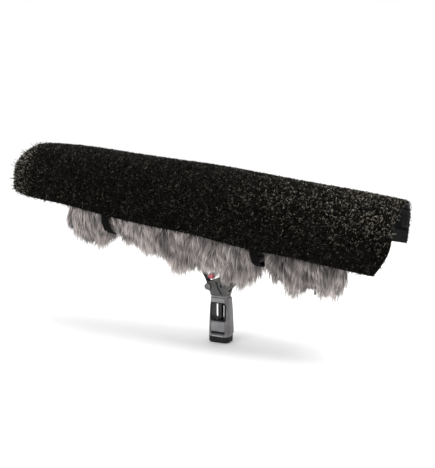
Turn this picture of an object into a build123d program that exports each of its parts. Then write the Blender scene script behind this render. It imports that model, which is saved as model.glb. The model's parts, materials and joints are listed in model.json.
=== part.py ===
from build123d import *
import os
from math import cos, radians, sin

os.makedirs("parts", exist_ok=True)

# Furry windscreen: a tubular basket windshield in a fur sleeve, with a wiry rain cover over it, on a
# pistol grip.  Millimetres, +Z up.  The origin is the mouth of the boom thread, in the middle of the
# grip's foot.  The nose of the windshield points along -X, its rear along +X.  "Near" is the -Y side.

# --- Grip -------------------------------------------------------------------------------------------
GRIP_SECTIONS = [(12.0, 43.0, 32.0), (50.0, 41.0, 32.0), (92.0, 35.0, 30.0)]  # height, length, depth
GRIP_CORNER = 11.0
CAP_HEIGHT = 12.0
SHELL_TOP = 92.0
SHELL_FLOOR = 3.0
CAVITY_WALL = 3.0
CAVITY_DEPTH = 18.0
POCKET_FACE = 12.0          # half depth of the grip inside its recessed sides
POCKET_LENGTH = 30.0
POCKET_BOTTOM = 15.0
POCKET_TOP = 89.0
WINDOW_FRONT = 14.5         # window edges, ahead of and behind the middle of the grip
WINDOW_REAR = 12.2
WINDOW_BOTTOM = 43.5
WINDOW_TOP = 76.0
FRAME_WALL = 2.0
POST_RADIUS = 5.5
INSERT_RADIUS = 7.0
INSERT_HEIGHT = 17.0
BOOM_THREAD_RADIUS = 3.97   # 3/8 inch, 16 threads per inch, at the minor diameter
BOOM_THREAD_DEPTH = 14.0
PLATE_THICKNESS = 2.5
BACK_STRIP = 1.8
SCREW_RADIUS = 1.5
SCREW_BOSS_RADIUS = 3.6
SCREW_HEAD_RADIUS = 2.7
SCREW_SEAT = 9.0            # depth of the heads' seats on the far side
SCREW_TIP = 8.0             # depth of the tips on the near side
SCREW_SPOTS = [(-11.0, 30.0), (11.0, 30.0), (-10.5, 83.0), (10.5, 83.0)]

# --- Head, tilt pivot and locking lever -------------------------------------------------------------
PIVOT = (8.0, 0.0, 112.0)
PIVOT_BOLT_RADIUS = 4.0
PIVOT_HEAD_RADIUS = 5.8
CHEEK_SLIT, CHEEK_SLIT_DEPTH = 4.0, 3.0
RUNNING_GAP = 0.05
HEAD_HALF = 13.0
TANG_HALF = 6.0
TANG_RADIUS = 12.0
WASHER = 0.9
LEVER_X, LEVER_Z = -21.0, 108.0
LEVER_PIN_RADIUS = 4.5
LEVER_BOSS_RADIUS = 6.6
LEVER_BOSS_HALF = 15.0
LEVER_HALF = 4.0
LEVER_LEAN = 24.0           # degrees forward of upright
LEVER_REACH = 42.0
BUTTON_HEIGHT = 15.6        # along the lever, from its pin
BUTTON_RADIUS = 6.5
BUTTON_STEM_RADIUS = 2.5
BUTTON_TRAVEL = 2.0
BUTTON_STANDOFF = 1.3       # from the button's ball, pressed right in, to the lever's middle line

# --- Windshield, in its own frame: x behind the pivot, z above the tube's axis -----------------------
REST_PITCH = 6.0            # nose-up angle at rest
AXIS_RISE = 154.0           # tube axis above the tilt pivot
BASKET_RADIUS = 50.0
BASKET_WALL = 1.5
BASKET_FRONT = -283.0
BASKET_REAR = 197.0
RING_LENGTH = 14.0
RING_WALL = 1.2
STEM_RADIUS = 8.0
FLANGE_RADIUS = 15.0
SPIGOT_RADIUS, SPIGOT_HEIGHT = 5.0, 6.0
SADDLE_BOTTOM = 60.0        # below the tube's axis
SADDLE_LENGTH, SADDLE_WIDTH = 60.0, 40.0
SADDLE_BOLT_SPACING, SADDLE_BOLT_RADIUS, SADDLE_BOLT_LENGTH = 44.0, 2.0, 18.0
RAIL_TOP = 33.0             # below the tube's axis
RAIL_THICKNESS = 5.0
RAIL_WIDTH = 24.0
RAIL_FRONT, RAIL_REAR = -230.0, 150.0
CARRIER_LENGTH, CARRIER_WIDTH, CARRIER_HEIGHT = 30.0, 34.0, 16.0
CARRIERS = {"front": -120.0, "rear": 90.0}
LOCK_SCREW_RADIUS = 2.0
LOCK_KNOB_RADIUS, LOCK_KNOB_LENGTH = 4.4, 5.5
CLIP_BORE = 10.2            # radius that the microphone's barrel snaps into
LYRE_THICKNESS, LYRE_ROD = 8.0, 2.6
FUR_GAP = 2.0               # fur backing to basket
FUR_PROFILE = [(-293.0, 55.5), (-258.0, 57.0), (-108.0, 62.0), (42.0, 64.5), (197.0, 64.5)]
FUR_FRONT, FUR_REAR = -353.0, 256.0
FUR_HALF = 36.0             # half width of the hanging belly
BELLY = 118.0               # depth of the hanging belly below the axis
STRAP_WIDTH = 16.0
STRAP_THICKNESS = 1.6
STRAP_DROP = 98.0
STRAPS = {"front": (-238.0, 57.7), "rear": (75.0, 64.2)}   # station, half width between its ends
ZIP_FRONT, ZIP_REAR = 98.0, 190.0
ZIP_WIDTH, ZIP_TEETH = 22.0, 4.0
SLIDER_LENGTH, SLIDER_WIDTH = 12.0, 9.0
PULL_DROP = 6.6             # zip pull's pin below the zip tape's face
PULL_PIN_RADIUS = 0.6
PULL_LENGTH = 10.0

# --- Rain cover: station, half width, centre height, near and far lower edges ------------------------
COVER = [
    (320.0, 70.0, 0.0, -57.0, -22.0),
    (192.0, 72.0, 0.0, -57.0, -28.0),
    (42.0, 72.0, 0.0, -57.0, -34.0),
    (-108.0, 70.0, 0.0, -56.0, -38.0),
    (-258.0, 65.0, 0.0, -54.0, -42.0),
    (-358.0, 61.0, -1.0, -49.0, -44.0),
    (-428.0, 55.0, -4.0, -48.0, -46.0),
    (-463.0, 44.0, -14.0, -48.0, -47.0),
    (-474.0, 34.5, -18.0, -47.0, -47.0),
    (-482.0, 18.0, -27.0, -45.0, -45.0),
]
MAT = 5.0
LINING = 1.0
BAND_THICKNESS = 1.8

# Longer than anything that a cut with it goes through.
THROUGH = 60.0

# The windshield's own frame: origin on the tilt pivot, +X along the tube to the rear, +Z square to it.
pitch = radians(REST_PITCH)
BLIMP = Plane(origin=PIVOT, x_dir=(cos(pitch), 0, -sin(pitch)), z_dir=(sin(pitch), 0, cos(pitch)))


def station(x):
    """Plane across the tube at x, centred on its axis: sketch x is +Y, sketch y is up."""
    return Plane(BLIMP.from_local_coords((x, 0, AXIS_RISE)), x_dir=(0, 1, 0), z_dir=BLIMP.x_dir)


def side(y):
    """Plane along the tube at y: sketch x runs to the rear, sketch y is height above the axis."""
    return Plane(BLIMP.from_local_coords((0, y, AXIS_RISE)), x_dir=BLIMP.x_dir, z_dir=(0, -1, 0))


def deck(z):
    """Plane square to the windshield's own vertical at z above the tube's axis."""
    return Plane(BLIMP.from_local_coords((0, 0, AXIS_RISE + z)), x_dir=BLIMP.x_dir, z_dir=BLIMP.z_dir)


TUBE_AXIS = Axis(side(0).origin, BLIMP.x_dir)


def save(piece, name):
    """Label one finished piece and write it as its own STEP file."""
    piece.label = name
    export_step(piece, f"parts/{name}.step")


# === Grip ===========================================================================================
with BuildPart() as grip_blank:
    for height, length, depth in GRIP_SECTIONS:
        with BuildSketch(Plane.XY.offset(height)):
            RectangleRounded(length, depth, GRIP_CORNER)
    loft()

with BuildPart() as grip_shell:
    add(grip_blank.part)
    # Hollow core, closed at the foot and open under the head.
    for height, length, depth in GRIP_SECTIONS:
        base = max(height, CAP_HEIGHT + SHELL_FLOOR)
        with BuildSketch(Plane.XY.offset(base)):
            RectangleRounded(length - 2 * CAVITY_WALL, CAVITY_DEPTH, GRIP_CORNER - 4)
    loft(mode=Mode.SUBTRACT)
    # Recessed flat sides that the plates and the window sit in.
    pocket_height = POCKET_TOP - POCKET_BOTTOM
    for hand in (-1, 1):
        with BuildSketch(Plane.XZ.offset(hand * POCKET_FACE)):
            with Locations((0, POCKET_BOTTOM + pocket_height / 2)):
                RectangleRounded(POCKET_LENGTH, pocket_height, 5)
        extrude(amount=hand * THROUGH, mode=Mode.SUBTRACT)
    # Screw bosses across the core.
    for x, z in SCREW_SPOTS:
        with BuildSketch(Plane.XZ.offset(-POCKET_FACE)):
            with Locations((x, z)):
                Circle(SCREW_BOSS_RADIUS)
        extrude(amount=2 * POCKET_FACE)
    # Seat for the window frame, passages for the thread insert and the spindle.
    window_middle = (WINDOW_BOTTOM + WINDOW_TOP) / 2
    window_height = WINDOW_TOP - WINDOW_BOTTOM
    frame_length = 2 * (WINDOW_FRONT + FRAME_WALL)
    frame_height = window_height + 2 * FRAME_WALL
    with BuildSketch(Plane.XZ):
        with Locations((0, window_middle)):
            RectangleRounded(frame_length, frame_height, 5)
    extrude(amount=THROUGH, both=True, mode=Mode.SUBTRACT)
    with BuildSketch(Plane.XY):
        Circle(INSERT_RADIUS)
    extrude(amount=CAP_HEIGHT + SHELL_FLOOR + 5, mode=Mode.SUBTRACT)
    # Screw holes, with a counterbore in the far side.
    for x, z in SCREW_SPOTS:
        with BuildSketch(Plane.XZ.offset(SCREW_TIP)):
            with Locations((x, z)):
                Circle(SCREW_RADIUS)
        extrude(amount=-THROUGH, mode=Mode.SUBTRACT)
        with BuildSketch(Plane.XZ.offset(-SCREW_SEAT)):
            with Locations((x, z)):
                Circle(SCREW_HEAD_RADIUS + 2 * RUNNING_GAP)
        extrude(amount=-THROUGH, mode=Mode.SUBTRACT)

save(split(grip_shell.part, bisect_by=Plane.XZ, keep=Keep.TOP), "grip_shell_left")
save(split(grip_shell.part, bisect_by=Plane.XZ, keep=Keep.BOTTOM), "grip_shell_right")

with BuildPart() as shell_screws:
    for x, z in SCREW_SPOTS:
        with BuildSketch(Plane.XZ.offset(-SCREW_SEAT)):
            with Locations((x, z)):
                Circle(SCREW_RADIUS)
        extrude(amount=SCREW_SEAT + SCREW_TIP)
        with BuildSketch(Plane.XZ.offset(-SCREW_SEAT)):
            with Locations((x, z)):
                Circle(SCREW_HEAD_RADIUS)
                RegularPolygon(1.3, 6, mode=Mode.SUBTRACT)
        extrude(amount=-2)
save(shell_screws.part, "shell_screws")

with BuildPart() as window_frame:
    with BuildSketch(Plane.XZ.offset(-POCKET_FACE)):
        with Locations((0, window_middle)):
            RectangleRounded(frame_length, frame_height, 5)
        with Locations(((WINDOW_REAR - WINDOW_FRONT) / 2, window_middle)):
            RectangleRounded(WINDOW_FRONT + WINDOW_REAR, window_height, 3.5, mode=Mode.SUBTRACT)
    extrude(amount=2 * POCKET_FACE)
    with BuildSketch(Plane.XY.offset(WINDOW_BOTTOM - FRAME_WALL - 1)):
        Circle(POST_RADIUS)
    extrude(amount=frame_height + 2, mode=Mode.SUBTRACT)
save(window_frame.part, "window_frame")

with BuildPart() as spindle_post:
    with BuildSketch(Plane.XY.offset(INSERT_HEIGHT)):
        Circle(POST_RADIUS)
    extrude(amount=SHELL_TOP - INSERT_HEIGHT)
    # Two turned grooves in the part that shows through the window.
    for height in (WINDOW_BOTTOM + 9, WINDOW_TOP - 9):
        with BuildSketch(Plane.XY.offset(height)):
            Circle(POST_RADIUS + 1)
            Circle(POST_RADIUS - 0.8, mode=Mode.SUBTRACT)
        extrude(amount=1.6, mode=Mode.SUBTRACT)
save(spindle_post.part, "spindle_post")

with BuildPart() as boom_insert:
    with BuildSketch(Plane.XY):
        Circle(INSERT_RADIUS)
    extrude(amount=INSERT_HEIGHT)
    with BuildSketch(Plane.XY):
        Circle(BOOM_THREAD_RADIUS)
    extrude(amount=BOOM_THREAD_DEPTH, mode=Mode.SUBTRACT)
save(boom_insert.part, "boom_insert")

with BuildPart() as base_cap:
    foot_length, foot_depth = GRIP_SECTIONS[0][1:]
    with BuildSketch(Plane.XY):
        RectangleRounded(foot_length, foot_depth, GRIP_CORNER)
    extrude(amount=CAP_HEIGHT)
    fillet(base_cap.faces().sort_by(Axis.Z)[0].edges(), 2.5)
    with BuildSketch(Plane.XY):
        Circle(INSERT_RADIUS)
    extrude(amount=CAP_HEIGHT, mode=Mode.SUBTRACT)
save(base_cap.part, "base_cap")


def side_plate(bottom, top, hand):
    """Plate with eased corners in a recessed side of the grip, crowned towards its middle."""
    with BuildPart() as plate:
        with BuildSketch(Plane.XZ.offset(hand * POCKET_FACE)):
            with Locations((0, (bottom + top) / 2)):
                RectangleRounded(POCKET_LENGTH - 1, top - bottom, 3)
        extrude(amount=hand * PLATE_THICKNESS)
        chamfer(plate.faces().sort_by(Axis.Y)[0 if hand > 0 else -1].edges(), 0.8)
    return plate.part


for hand, word in ((1, "left"), (-1, "right")):
    save(side_plate(POCKET_BOTTOM + 6.5, WINDOW_BOTTOM - 3, hand), f"badge_plate_{word}")
    save(side_plate(WINDOW_TOP + 3, POCKET_TOP - 1.5, hand), f"upper_plate_{word}")

with BuildPart() as back_strip:
    for height, length, depth in GRIP_SECTIONS:
        with BuildSketch(Plane.XY.offset(height)):
            RectangleRounded(length + 2 * BACK_STRIP, depth, GRIP_CORNER)
    loft()
    add(grip_blank.part, mode=Mode.SUBTRACT)
    with BuildSketch(Plane.YZ.offset(5)):
        with Locations((0, 52)):
            RectangleRounded(19, 72, 5)
    extrude(amount=30, mode=Mode.INTERSECT)
save(back_strip.part, "back_strip")

# === Head: fork for the tilting stem, boss for the locking lever =====================================
pivot_x, pivot_z = PIVOT[0], PIVOT[2]
with BuildPart() as head_fork:
    with BuildSketch(Plane.XZ.offset(-HEAD_HALF)):
        with BuildLine():
            FilletPolyline(
                (-16, SHELL_TOP), (-17, 99), (-24, 102), (-24, 115.5), (-12, 119.3), (-5, 124.5),
                (pivot_x, 126.5), (19, 122), (27, 117), (26.5, 111), (18.5, 102), (16, SHELL_TOP),
                radius=2.2,
            )
            Line((16, SHELL_TOP), (-16, SHELL_TOP))
        make_face()
    extrude(amount=2 * HEAD_HALF)
    # Round boss that carries the lever's pin.
    with BuildSketch(Plane.XZ.offset(-LEVER_BOSS_HALF)):
        with Locations((LEVER_X, LEVER_Z)):
            Circle(LEVER_BOSS_RADIUS)
    extrude(amount=2 * LEVER_BOSS_HALF)
    # Slot between the cheeks for the stem's tang, and the slit that lets the head grip it.
    with BuildSketch(Plane.XZ.offset(-TANG_HALF - WASHER)):
        with Locations((13, 114)):
            Rectangle(40, 32)
    extrude(amount=2 * (TANG_HALF + WASHER), mode=Mode.SUBTRACT)
    with BuildSketch(Plane.XZ.offset(-LEVER_HALF - RUNNING_GAP)):
        with Locations((LEVER_X - 5, LEVER_Z + 4)):
            Rectangle(26, 24)
    extrude(amount=2 * (LEVER_HALF + RUNNING_GAP), mode=Mode.SUBTRACT)
    # Curved slit down the face of each cheek.
    for hand in (-1, 1):
        with BuildSketch(Plane.XZ.offset(hand * (HEAD_HALF - CHEEK_SLIT_DEPTH))):
            with BuildLine():
                ThreePointArc((-4, 118.5), (1, 106), (7.5, 95))
            trace(line_width=CHEEK_SLIT)
        extrude(amount=hand * THROUGH, mode=Mode.SUBTRACT)
    # Bores for the tilt bolt and for the lever's pin.
    with BuildSketch(Plane.XZ.offset(-30)):
        with Locations((pivot_x, pivot_z)):
            Circle(PIVOT_BOLT_RADIUS)
        with Locations((LEVER_X, LEVER_Z)):
            Circle(LEVER_PIN_RADIUS)
    extrude(amount=60, mode=Mode.SUBTRACT)
save(head_fork.part, "head_fork")

with BuildPart() as tilt_bolt:
    with BuildSketch(Plane.XZ.offset(-HEAD_HALF - 7)):
        with Locations((pivot_x, pivot_z)):
            Circle(PIVOT_BOLT_RADIUS)
    extrude(amount=2 * HEAD_HALF + 7)
    with BuildSketch(Plane.XZ.offset(HEAD_HALF)):
        with Locations((pivot_x, pivot_z)):
            Circle(PIVOT_HEAD_RADIUS)
            RegularPolygon(3.2, 6, mode=Mode.SUBTRACT)
    extrude(amount=4)
save(tilt_bolt.part, "tilt_bolt")

with BuildPart() as tilt_nut:
    with BuildSketch(Plane.XZ.offset(-HEAD_HALF)):
        with Locations((pivot_x, pivot_z)):
            RegularPolygon(7.5, 6)
            Circle(PIVOT_BOLT_RADIUS, mode=Mode.SUBTRACT)
    extrude(amount=-5)
save(tilt_nut.part, "tilt_nut")

with BuildPart() as friction_washers:
    for start, amount in ((TANG_HALF + RUNNING_GAP, 1), (-TANG_HALF - RUNNING_GAP, -1)):
        with BuildSketch(Plane.XZ.offset(start)):
            with Locations((pivot_x, pivot_z)):
                Circle(TANG_RADIUS - 1)
                Circle(PIVOT_BOLT_RADIUS, mode=Mode.SUBTRACT)
        extrude(amount=amount * (WASHER - RUNNING_GAP))
save(friction_washers.part, "friction_washers")

with BuildPart() as lever_pin:
    with BuildSketch(Plane.XZ.offset(-LEVER_BOSS_HALF)):
        with Locations((LEVER_X, LEVER_Z)):
            Circle(LEVER_PIN_RADIUS)
    extrude(amount=2 * LEVER_BOSS_HALF)
    for hand in (-1, 1):
        with BuildSketch(Plane.XZ.offset(hand * LEVER_BOSS_HALF)):
            with Locations((LEVER_X, LEVER_Z)):
                Circle(LEVER_BOSS_RADIUS - 0.4)
        extrude(amount=hand * 1.4)
        with BuildSketch(Plane.XZ.offset(hand * (LEVER_BOSS_HALF + 0.6))):
            with Locations((LEVER_X, LEVER_Z)):
                Circle(3.2)
        extrude(amount=hand * 2, mode=Mode.SUBTRACT)
save(lever_pin.part, "lever_pin")

# Lever frame: sketch x is square to the lever towards the stem, sketch y runs up the lever.
lean = radians(LEVER_LEAN)
LEVER = Plane(origin=(LEVER_X, 0, LEVER_Z), x_dir=(cos(lean), 0, sin(lean)), z_dir=(0, -1, 0))
with BuildPart() as lock_lever:
    with BuildSketch(LEVER.offset(-LEVER_HALF)):
        Circle(LEVER_BOSS_RADIUS)
        with BuildLine():
            Line((-4.5, 0), (-4.5, 8))
            ThreePointArc((-4.5, 8), (-5.2, 26), (-8, LEVER_REACH))
            Line((-8, LEVER_REACH), (-3.5, LEVER_REACH + 1))
            ThreePointArc((-3.5, LEVER_REACH + 1), (-0.4, 26), (1.5, 8))
            Line((1.5, 8), (1.5, 0))
            Line((1.5, 0), (-4.5, 0))
        make_face()
        Circle(LEVER_PIN_RADIUS + RUNNING_GAP, mode=Mode.SUBTRACT)
    extrude(amount=2 * LEVER_HALF)
    # Guide hole for the button's stem, square through the lever.
    button_line = Plane(LEVER.from_local_coords((0, BUTTON_HEIGHT, 0)), z_dir=LEVER.x_dir)
    with BuildSketch(button_line.offset(-12)):
        Circle(BUTTON_STEM_RADIUS + RUNNING_GAP)
    extrude(amount=24, mode=Mode.SUBTRACT)
save(lock_lever.part, "lock_lever")

with BuildPart(button_line) as release_button:
    Cylinder(BUTTON_STEM_RADIUS, 12, align=(Align.CENTER, Align.CENTER, Align.MIN))
    with Locations((0, 0, -4)):
        Cylinder(BUTTON_STEM_RADIUS, 4, align=(Align.CENTER, Align.CENTER, Align.MIN))
    with Locations((0, 0, BUTTON_RADIUS + BUTTON_TRAVEL + BUTTON_STANDOFF)):
        Sphere(BUTTON_RADIUS)
save(release_button.part, "release_button")

# === Stem, saddle and the rail inside the basket =====================================================
basket_inner = BASKET_RADIUS - BASKET_WALL
with BuildPart() as tilt_stem:
    with BuildSketch(side(-TANG_HALF)):
        with Locations((0, -AXIS_RISE)):
            Circle(TANG_RADIUS)
        with Locations((0, 10 - AXIS_RISE)):
            Rectangle(2 * STEM_RADIUS, 20)
        with Locations((0, -AXIS_RISE)):
            Circle(PIVOT_BOLT_RADIUS + RUNNING_GAP, mode=Mode.SUBTRACT)
    extrude(amount=-2 * TANG_HALF)
    with BuildSketch(deck(16 - AXIS_RISE)):
        Circle(STEM_RADIUS)
    extrude(amount=AXIS_RISE - SADDLE_BOTTOM - 16)
    with BuildSketch(deck(-SADDLE_BOTTOM)):
        Circle(FLANGE_RADIUS)
    extrude(amount=-4)
    with BuildSketch(deck(-SADDLE_BOTTOM)):
        Circle(SPIGOT_RADIUS)
    extrude(amount=SPIGOT_HEIGHT)
save(tilt_stem.part, "tilt_stem")

with BuildPart() as saddle:
    with BuildSketch(station(-SADDLE_LENGTH / 2)):
        with Locations((0, -SADDLE_BOTTOM + 8)):
            Rectangle(SADDLE_WIDTH, 16)
        Circle(BASKET_RADIUS, mode=Mode.SUBTRACT)
    extrude(amount=SADDLE_LENGTH)
    with BuildSketch(deck(-SADDLE_BOTTOM)):
        Circle(SPIGOT_RADIUS)
    extrude(amount=SPIGOT_HEIGHT, mode=Mode.SUBTRACT)
    with BuildSketch(deck(-SADDLE_BOTTOM)):
        with GridLocations(SADDLE_BOLT_SPACING, 1, 2, 1):
            Circle(SADDLE_BOLT_RADIUS)
    extrude(amount=SADDLE_BOLT_LENGTH + 1, mode=Mode.SUBTRACT)
save(saddle.part, "saddle")

with BuildPart() as chassis_rail:
    with BuildSketch(station(RAIL_FRONT)):
        with Locations((0, -RAIL_TOP - RAIL_THICKNESS / 2)):
            Rectangle(RAIL_WIDTH, RAIL_THICKNESS)
    extrude(amount=RAIL_REAR - RAIL_FRONT)
    with BuildSketch(station(-SADDLE_LENGTH / 2)):
        with Locations((0, -RAIL_TOP - 10)):
            Rectangle(20, 16)
        Circle(basket_inner, mode=Mode.INTERSECT)
    extrude(amount=SADDLE_LENGTH)
    with BuildSketch(deck(-SADDLE_BOTTOM)):
        with GridLocations(SADDLE_BOLT_SPACING, 1, 2, 1):
            Circle(SADDLE_BOLT_RADIUS)
    extrude(amount=SADDLE_BOLT_LENGTH + 1, mode=Mode.SUBTRACT)
save(chassis_rail.part, "chassis_rail")

with BuildPart() as saddle_bolts:
    with BuildSketch(deck(-SADDLE_BOTTOM)):
        with GridLocations(SADDLE_BOLT_SPACING, 1, 2, 1):
            Circle(SADDLE_BOLT_RADIUS)
    extrude(amount=SADDLE_BOLT_LENGTH)
    with BuildSketch(deck(-SADDLE_BOTTOM)):
        with GridLocations(SADDLE_BOLT_SPACING, 1, 2, 1):
            Circle(3.7)
    extrude(amount=-3)
save(saddle_bolts.part, "saddle_bolts")

# === Basket =========================================================================================
with BuildPart() as basket_tube:
    with BuildSketch(station(BASKET_FRONT)):
        Circle(BASKET_RADIUS)
        Circle(basket_inner, mode=Mode.SUBTRACT)
    extrude(amount=BASKET_REAR - BASKET_FRONT)
    with BuildSketch(deck(-SADDLE_BOTTOM)):
        with GridLocations(SADDLE_BOLT_SPACING, 1, 2, 1):
            Circle(SADDLE_BOLT_RADIUS)
    extrude(amount=SADDLE_BOLT_LENGTH + 1, mode=Mode.SUBTRACT)
save(basket_tube.part, "basket_tube")

for name, end in (("front_ring", BASKET_FRONT), ("rear_ring", BASKET_REAR)):
    with BuildPart() as ring:
        with BuildSketch(station(end - RING_LENGTH / 2)):
            Circle(BASKET_RADIUS + RING_WALL)
            Circle(BASKET_RADIUS, mode=Mode.SUBTRACT)
        extrude(amount=RING_LENGTH)
    save(ring.part, name)


def dome(x, keep, radius):
    """Thin half-round end of the basket at station x."""
    with BuildPart(station(x)) as cap:
        Sphere(radius)
        Sphere(basket_inner, mode=Mode.SUBTRACT)
    return split(cap.part, bisect_by=station(x), keep=keep)


save(dome(BASKET_FRONT, Keep.BOTTOM, BASKET_RADIUS), "nose_dome")
save(dome(BASKET_REAR + 0.2, Keep.TOP, BASKET_RADIUS - RUNNING_GAP), "rear_dome")

# === Suspension: two carriers on the rail, each with a sprung lyre and a locking screw ===============
for name, x in CARRIERS.items():
    with BuildPart() as carrier:
        with BuildSketch(station(x - CARRIER_LENGTH / 2)):
            with Locations((0, -RAIL_TOP - RAIL_THICKNESS / 2)):
                Rectangle(CARRIER_WIDTH, CARRIER_HEIGHT)
                gap = 4 * RUNNING_GAP
                Rectangle(RAIL_WIDTH + gap, RAIL_THICKNESS + gap, mode=Mode.SUBTRACT)
        extrude(amount=CARRIER_LENGTH)
        near_face = side(-CARRIER_WIDTH / 2)
        screw_line = Plane(near_face.from_local_coords((x, -RAIL_TOP - RAIL_THICKNESS / 2, 0)),
                           x_dir=BLIMP.x_dir, z_dir=(0, -1, 0))
        with BuildSketch(screw_line):
            Circle(LOCK_SCREW_RADIUS + RUNNING_GAP)
        extrude(amount=-6, mode=Mode.SUBTRACT)
    save(carrier.part, f"{name}_carrier")

    with BuildPart() as screw:
        with BuildSketch(screw_line.offset(2 * RUNNING_GAP)):
            Circle(LOCK_KNOB_RADIUS)
            with PolarLocations(LOCK_KNOB_RADIUS + 0.2, 12):
                Circle(0.7, mode=Mode.SUBTRACT)
        extrude(amount=LOCK_KNOB_LENGTH)
        with BuildSketch(screw_line.offset(2 * RUNNING_GAP)):
            Circle(LOCK_SCREW_RADIUS)
        extrude(amount=-4.8)
    save(screw.part, f"{name}_lock_screw")

    with BuildPart() as lyre:
        with BuildSketch(station(x - LYRE_THICKNESS / 2)):
            for hand in (-1, 1):
                with BuildLine():
                    FilletPolyline(
                        (hand * 4, -26), (hand * 29, -24), (hand * 36, 2), (hand * 23, 18),
                        (hand * 11.6, 2), radius=6,
                    )
                trace(line_width=LYRE_ROD)
            with Locations((0, -26)):
                Rectangle(20, 3)
            Circle(CLIP_BORE + 2.4)
            Circle(CLIP_BORE, mode=Mode.SUBTRACT)
            with Locations((0, CLIP_BORE)):
                Rectangle(12, 10, mode=Mode.SUBTRACT)
        extrude(amount=LYRE_THICKNESS)
    save(lyre.part, f"{name}_lyre")

# === Fur sleeve, its zip and the two straps ==========================================================
with BuildPart() as fur_sleeve:
    with BuildSketch(side(0)):
        with BuildLine():
            front, rear = FUR_PROFILE[0], FUR_PROFILE[-1]
            ThreePointArc((FUR_FRONT, 0), (FUR_FRONT + 17, 0.7 * front[1]), front)
            Polyline(*FUR_PROFILE)
            ThreePointArc(rear, (FUR_REAR - 15, 0.72 * rear[1]), (FUR_REAR, 0))
            Line((FUR_REAR, 0), (FUR_FRONT, 0))
        make_face()
    revolve(axis=TUBE_AXIS)
    # Hanging belly, drawn in at each strap and lifted clear of the grip's head.
    with BuildSketch(side(-FUR_HALF)):
        with BuildLine():
            FilletPolyline(
                (-300, 0), (-318, -50), (-312, -96), (-290, -114), (-257, -112), (-249, -95.5),
                (-227, -95.5), (-217, -114), (-150, -BELLY), (-76, -BELLY), (-62, -92),
                (50, -92), (59, -110), (65, -95.5), (85, -95.5), (92, -110), (104, -BELLY),
                (234, -BELLY), (244, -96), (246, -50), (225, 0),
                radius=4,
            )
            Line((225, 0), (-300, 0))
        make_face()
    extrude(amount=-2 * FUR_HALF)
    # Room inside for the basket and its domes.
    inner = BASKET_RADIUS + FUR_GAP
    with BuildSketch(side(0)):
        with BuildLine():
            Line((BASKET_FRONT, inner), (BASKET_REAR, inner))
            RadiusArc((BASKET_REAR, inner), (BASKET_REAR + inner, 0), inner)
            Line((BASKET_REAR + inner, 0), (BASKET_FRONT - inner, 0))
            RadiusArc((BASKET_FRONT - inner, 0), (BASKET_FRONT, inner), inner)
        make_face()
    revolve(axis=TUBE_AXIS, mode=Mode.SUBTRACT)
    # Slit for the saddle and the stem.
    with BuildSketch(deck(-130)):
        RectangleRounded(SADDLE_LENGTH + 6, 46, 8)
    extrude(amount=90, mode=Mode.SUBTRACT)
save(fur_sleeve.part, "fur_sleeve")

zip_middle = (ZIP_FRONT + ZIP_REAR) / 2
zip_length = ZIP_REAR - ZIP_FRONT
with BuildPart() as zip_tape:
    with BuildSketch(deck(-BELLY)):
        with Locations((zip_middle, 0)):
            Rectangle(zip_length, ZIP_WIDTH)
    extrude(amount=-1)
    with BuildSketch(deck(-BELLY - 1)):
        with Locations((zip_middle, 0)):
            Rectangle(zip_length - 4, ZIP_TEETH)
    extrude(amount=-1.2)
save(zip_tape.part, "zip_tape")

# The pull swings on a pin between two lugs under the slider, and hangs plumb.
slider_x = ZIP_REAR - SLIDER_LENGTH
pull_plane = Plane(BLIMP.from_local_coords((slider_x, 0, AXIS_RISE - BELLY - PULL_DROP)),
                   x_dir=(1, 0, 0), z_dir=(0, -1, 0))
with BuildPart() as zip_slider:
    with BuildSketch(deck(-BELLY - 1.1)):
        with Locations((slider_x, 0)):
            Rectangle(SLIDER_LENGTH, SLIDER_WIDTH)
    extrude(amount=-3.6)
    with BuildSketch(deck(-BELLY - 1.1)):
        with Locations((slider_x, 0)):
            Rectangle(SLIDER_LENGTH, ZIP_TEETH + 0.3)
    extrude(amount=-1.4, mode=Mode.SUBTRACT)
    with BuildSketch(deck(-BELLY - 4)):
        with Locations((slider_x, 0)):
            with GridLocations(1, 6, 1, 2):
                Rectangle(3, 1.2)
    extrude(amount=-PULL_DROP + 2.8)
    with BuildSketch(pull_plane.offset(-3)):
        Circle(PULL_PIN_RADIUS)
    extrude(amount=6)
save(zip_slider.part, "zip_slider")

with BuildPart() as zip_pull:
    with BuildSketch(pull_plane.offset(-2)):
        Circle(1.5)
        with Locations((0, -PULL_LENGTH / 2)):
            Rectangle(1.6, PULL_LENGTH)
        Circle(PULL_PIN_RADIUS + RUNNING_GAP, mode=Mode.SUBTRACT)
    extrude(amount=4)
save(zip_pull.part, "zip_pull")

for name, (x, half) in STRAPS.items():
    with BuildPart() as strap:
        with BuildSketch(station(x - STRAP_WIDTH / 2)):
            with BuildLine():
                FilletPolyline(
                    (-half, -23), (-half, -54), (-42, -STRAP_DROP), (42, -STRAP_DROP),
                    (half, -48), (half, -22),
                    radius=11,
                )
            trace(line_width=STRAP_THICKNESS)
        extrude(amount=STRAP_WIDTH)
    save(strap.part, f"{name}_strap")


# === Rain cover =====================================================================================
def hood_section(x, half, centre, near, far, inset, below):
    """Closed outline of the cover at one station: round over the top, straight down both flaps."""
    half -= inset
    near -= below
    far -= below
    with BuildSketch(station(x)) as outline:
        with BuildLine():
            Line((-half, near), (-half, centre))
            ThreePointArc((-half, centre), (0, centre + half), (half, centre))
            Line((half, centre), (half, far))
            Line((half, far), (-half, near))
        make_face()
    return outline.sketch


def hood(inset, below, shorten=0.0, lengthen=0.0):
    """Solid under the cover's outer skin, moved in by inset and down by below."""
    sections = []
    for x, half, centre, near, far in COVER:
        if x == COVER[0][0]:
            x += lengthen
        if x == COVER[-1][0]:
            x += shorten
        sections.append(hood_section(x, half, centre, near, far, inset, below))
    return loft(sections, ruled=True)


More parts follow.
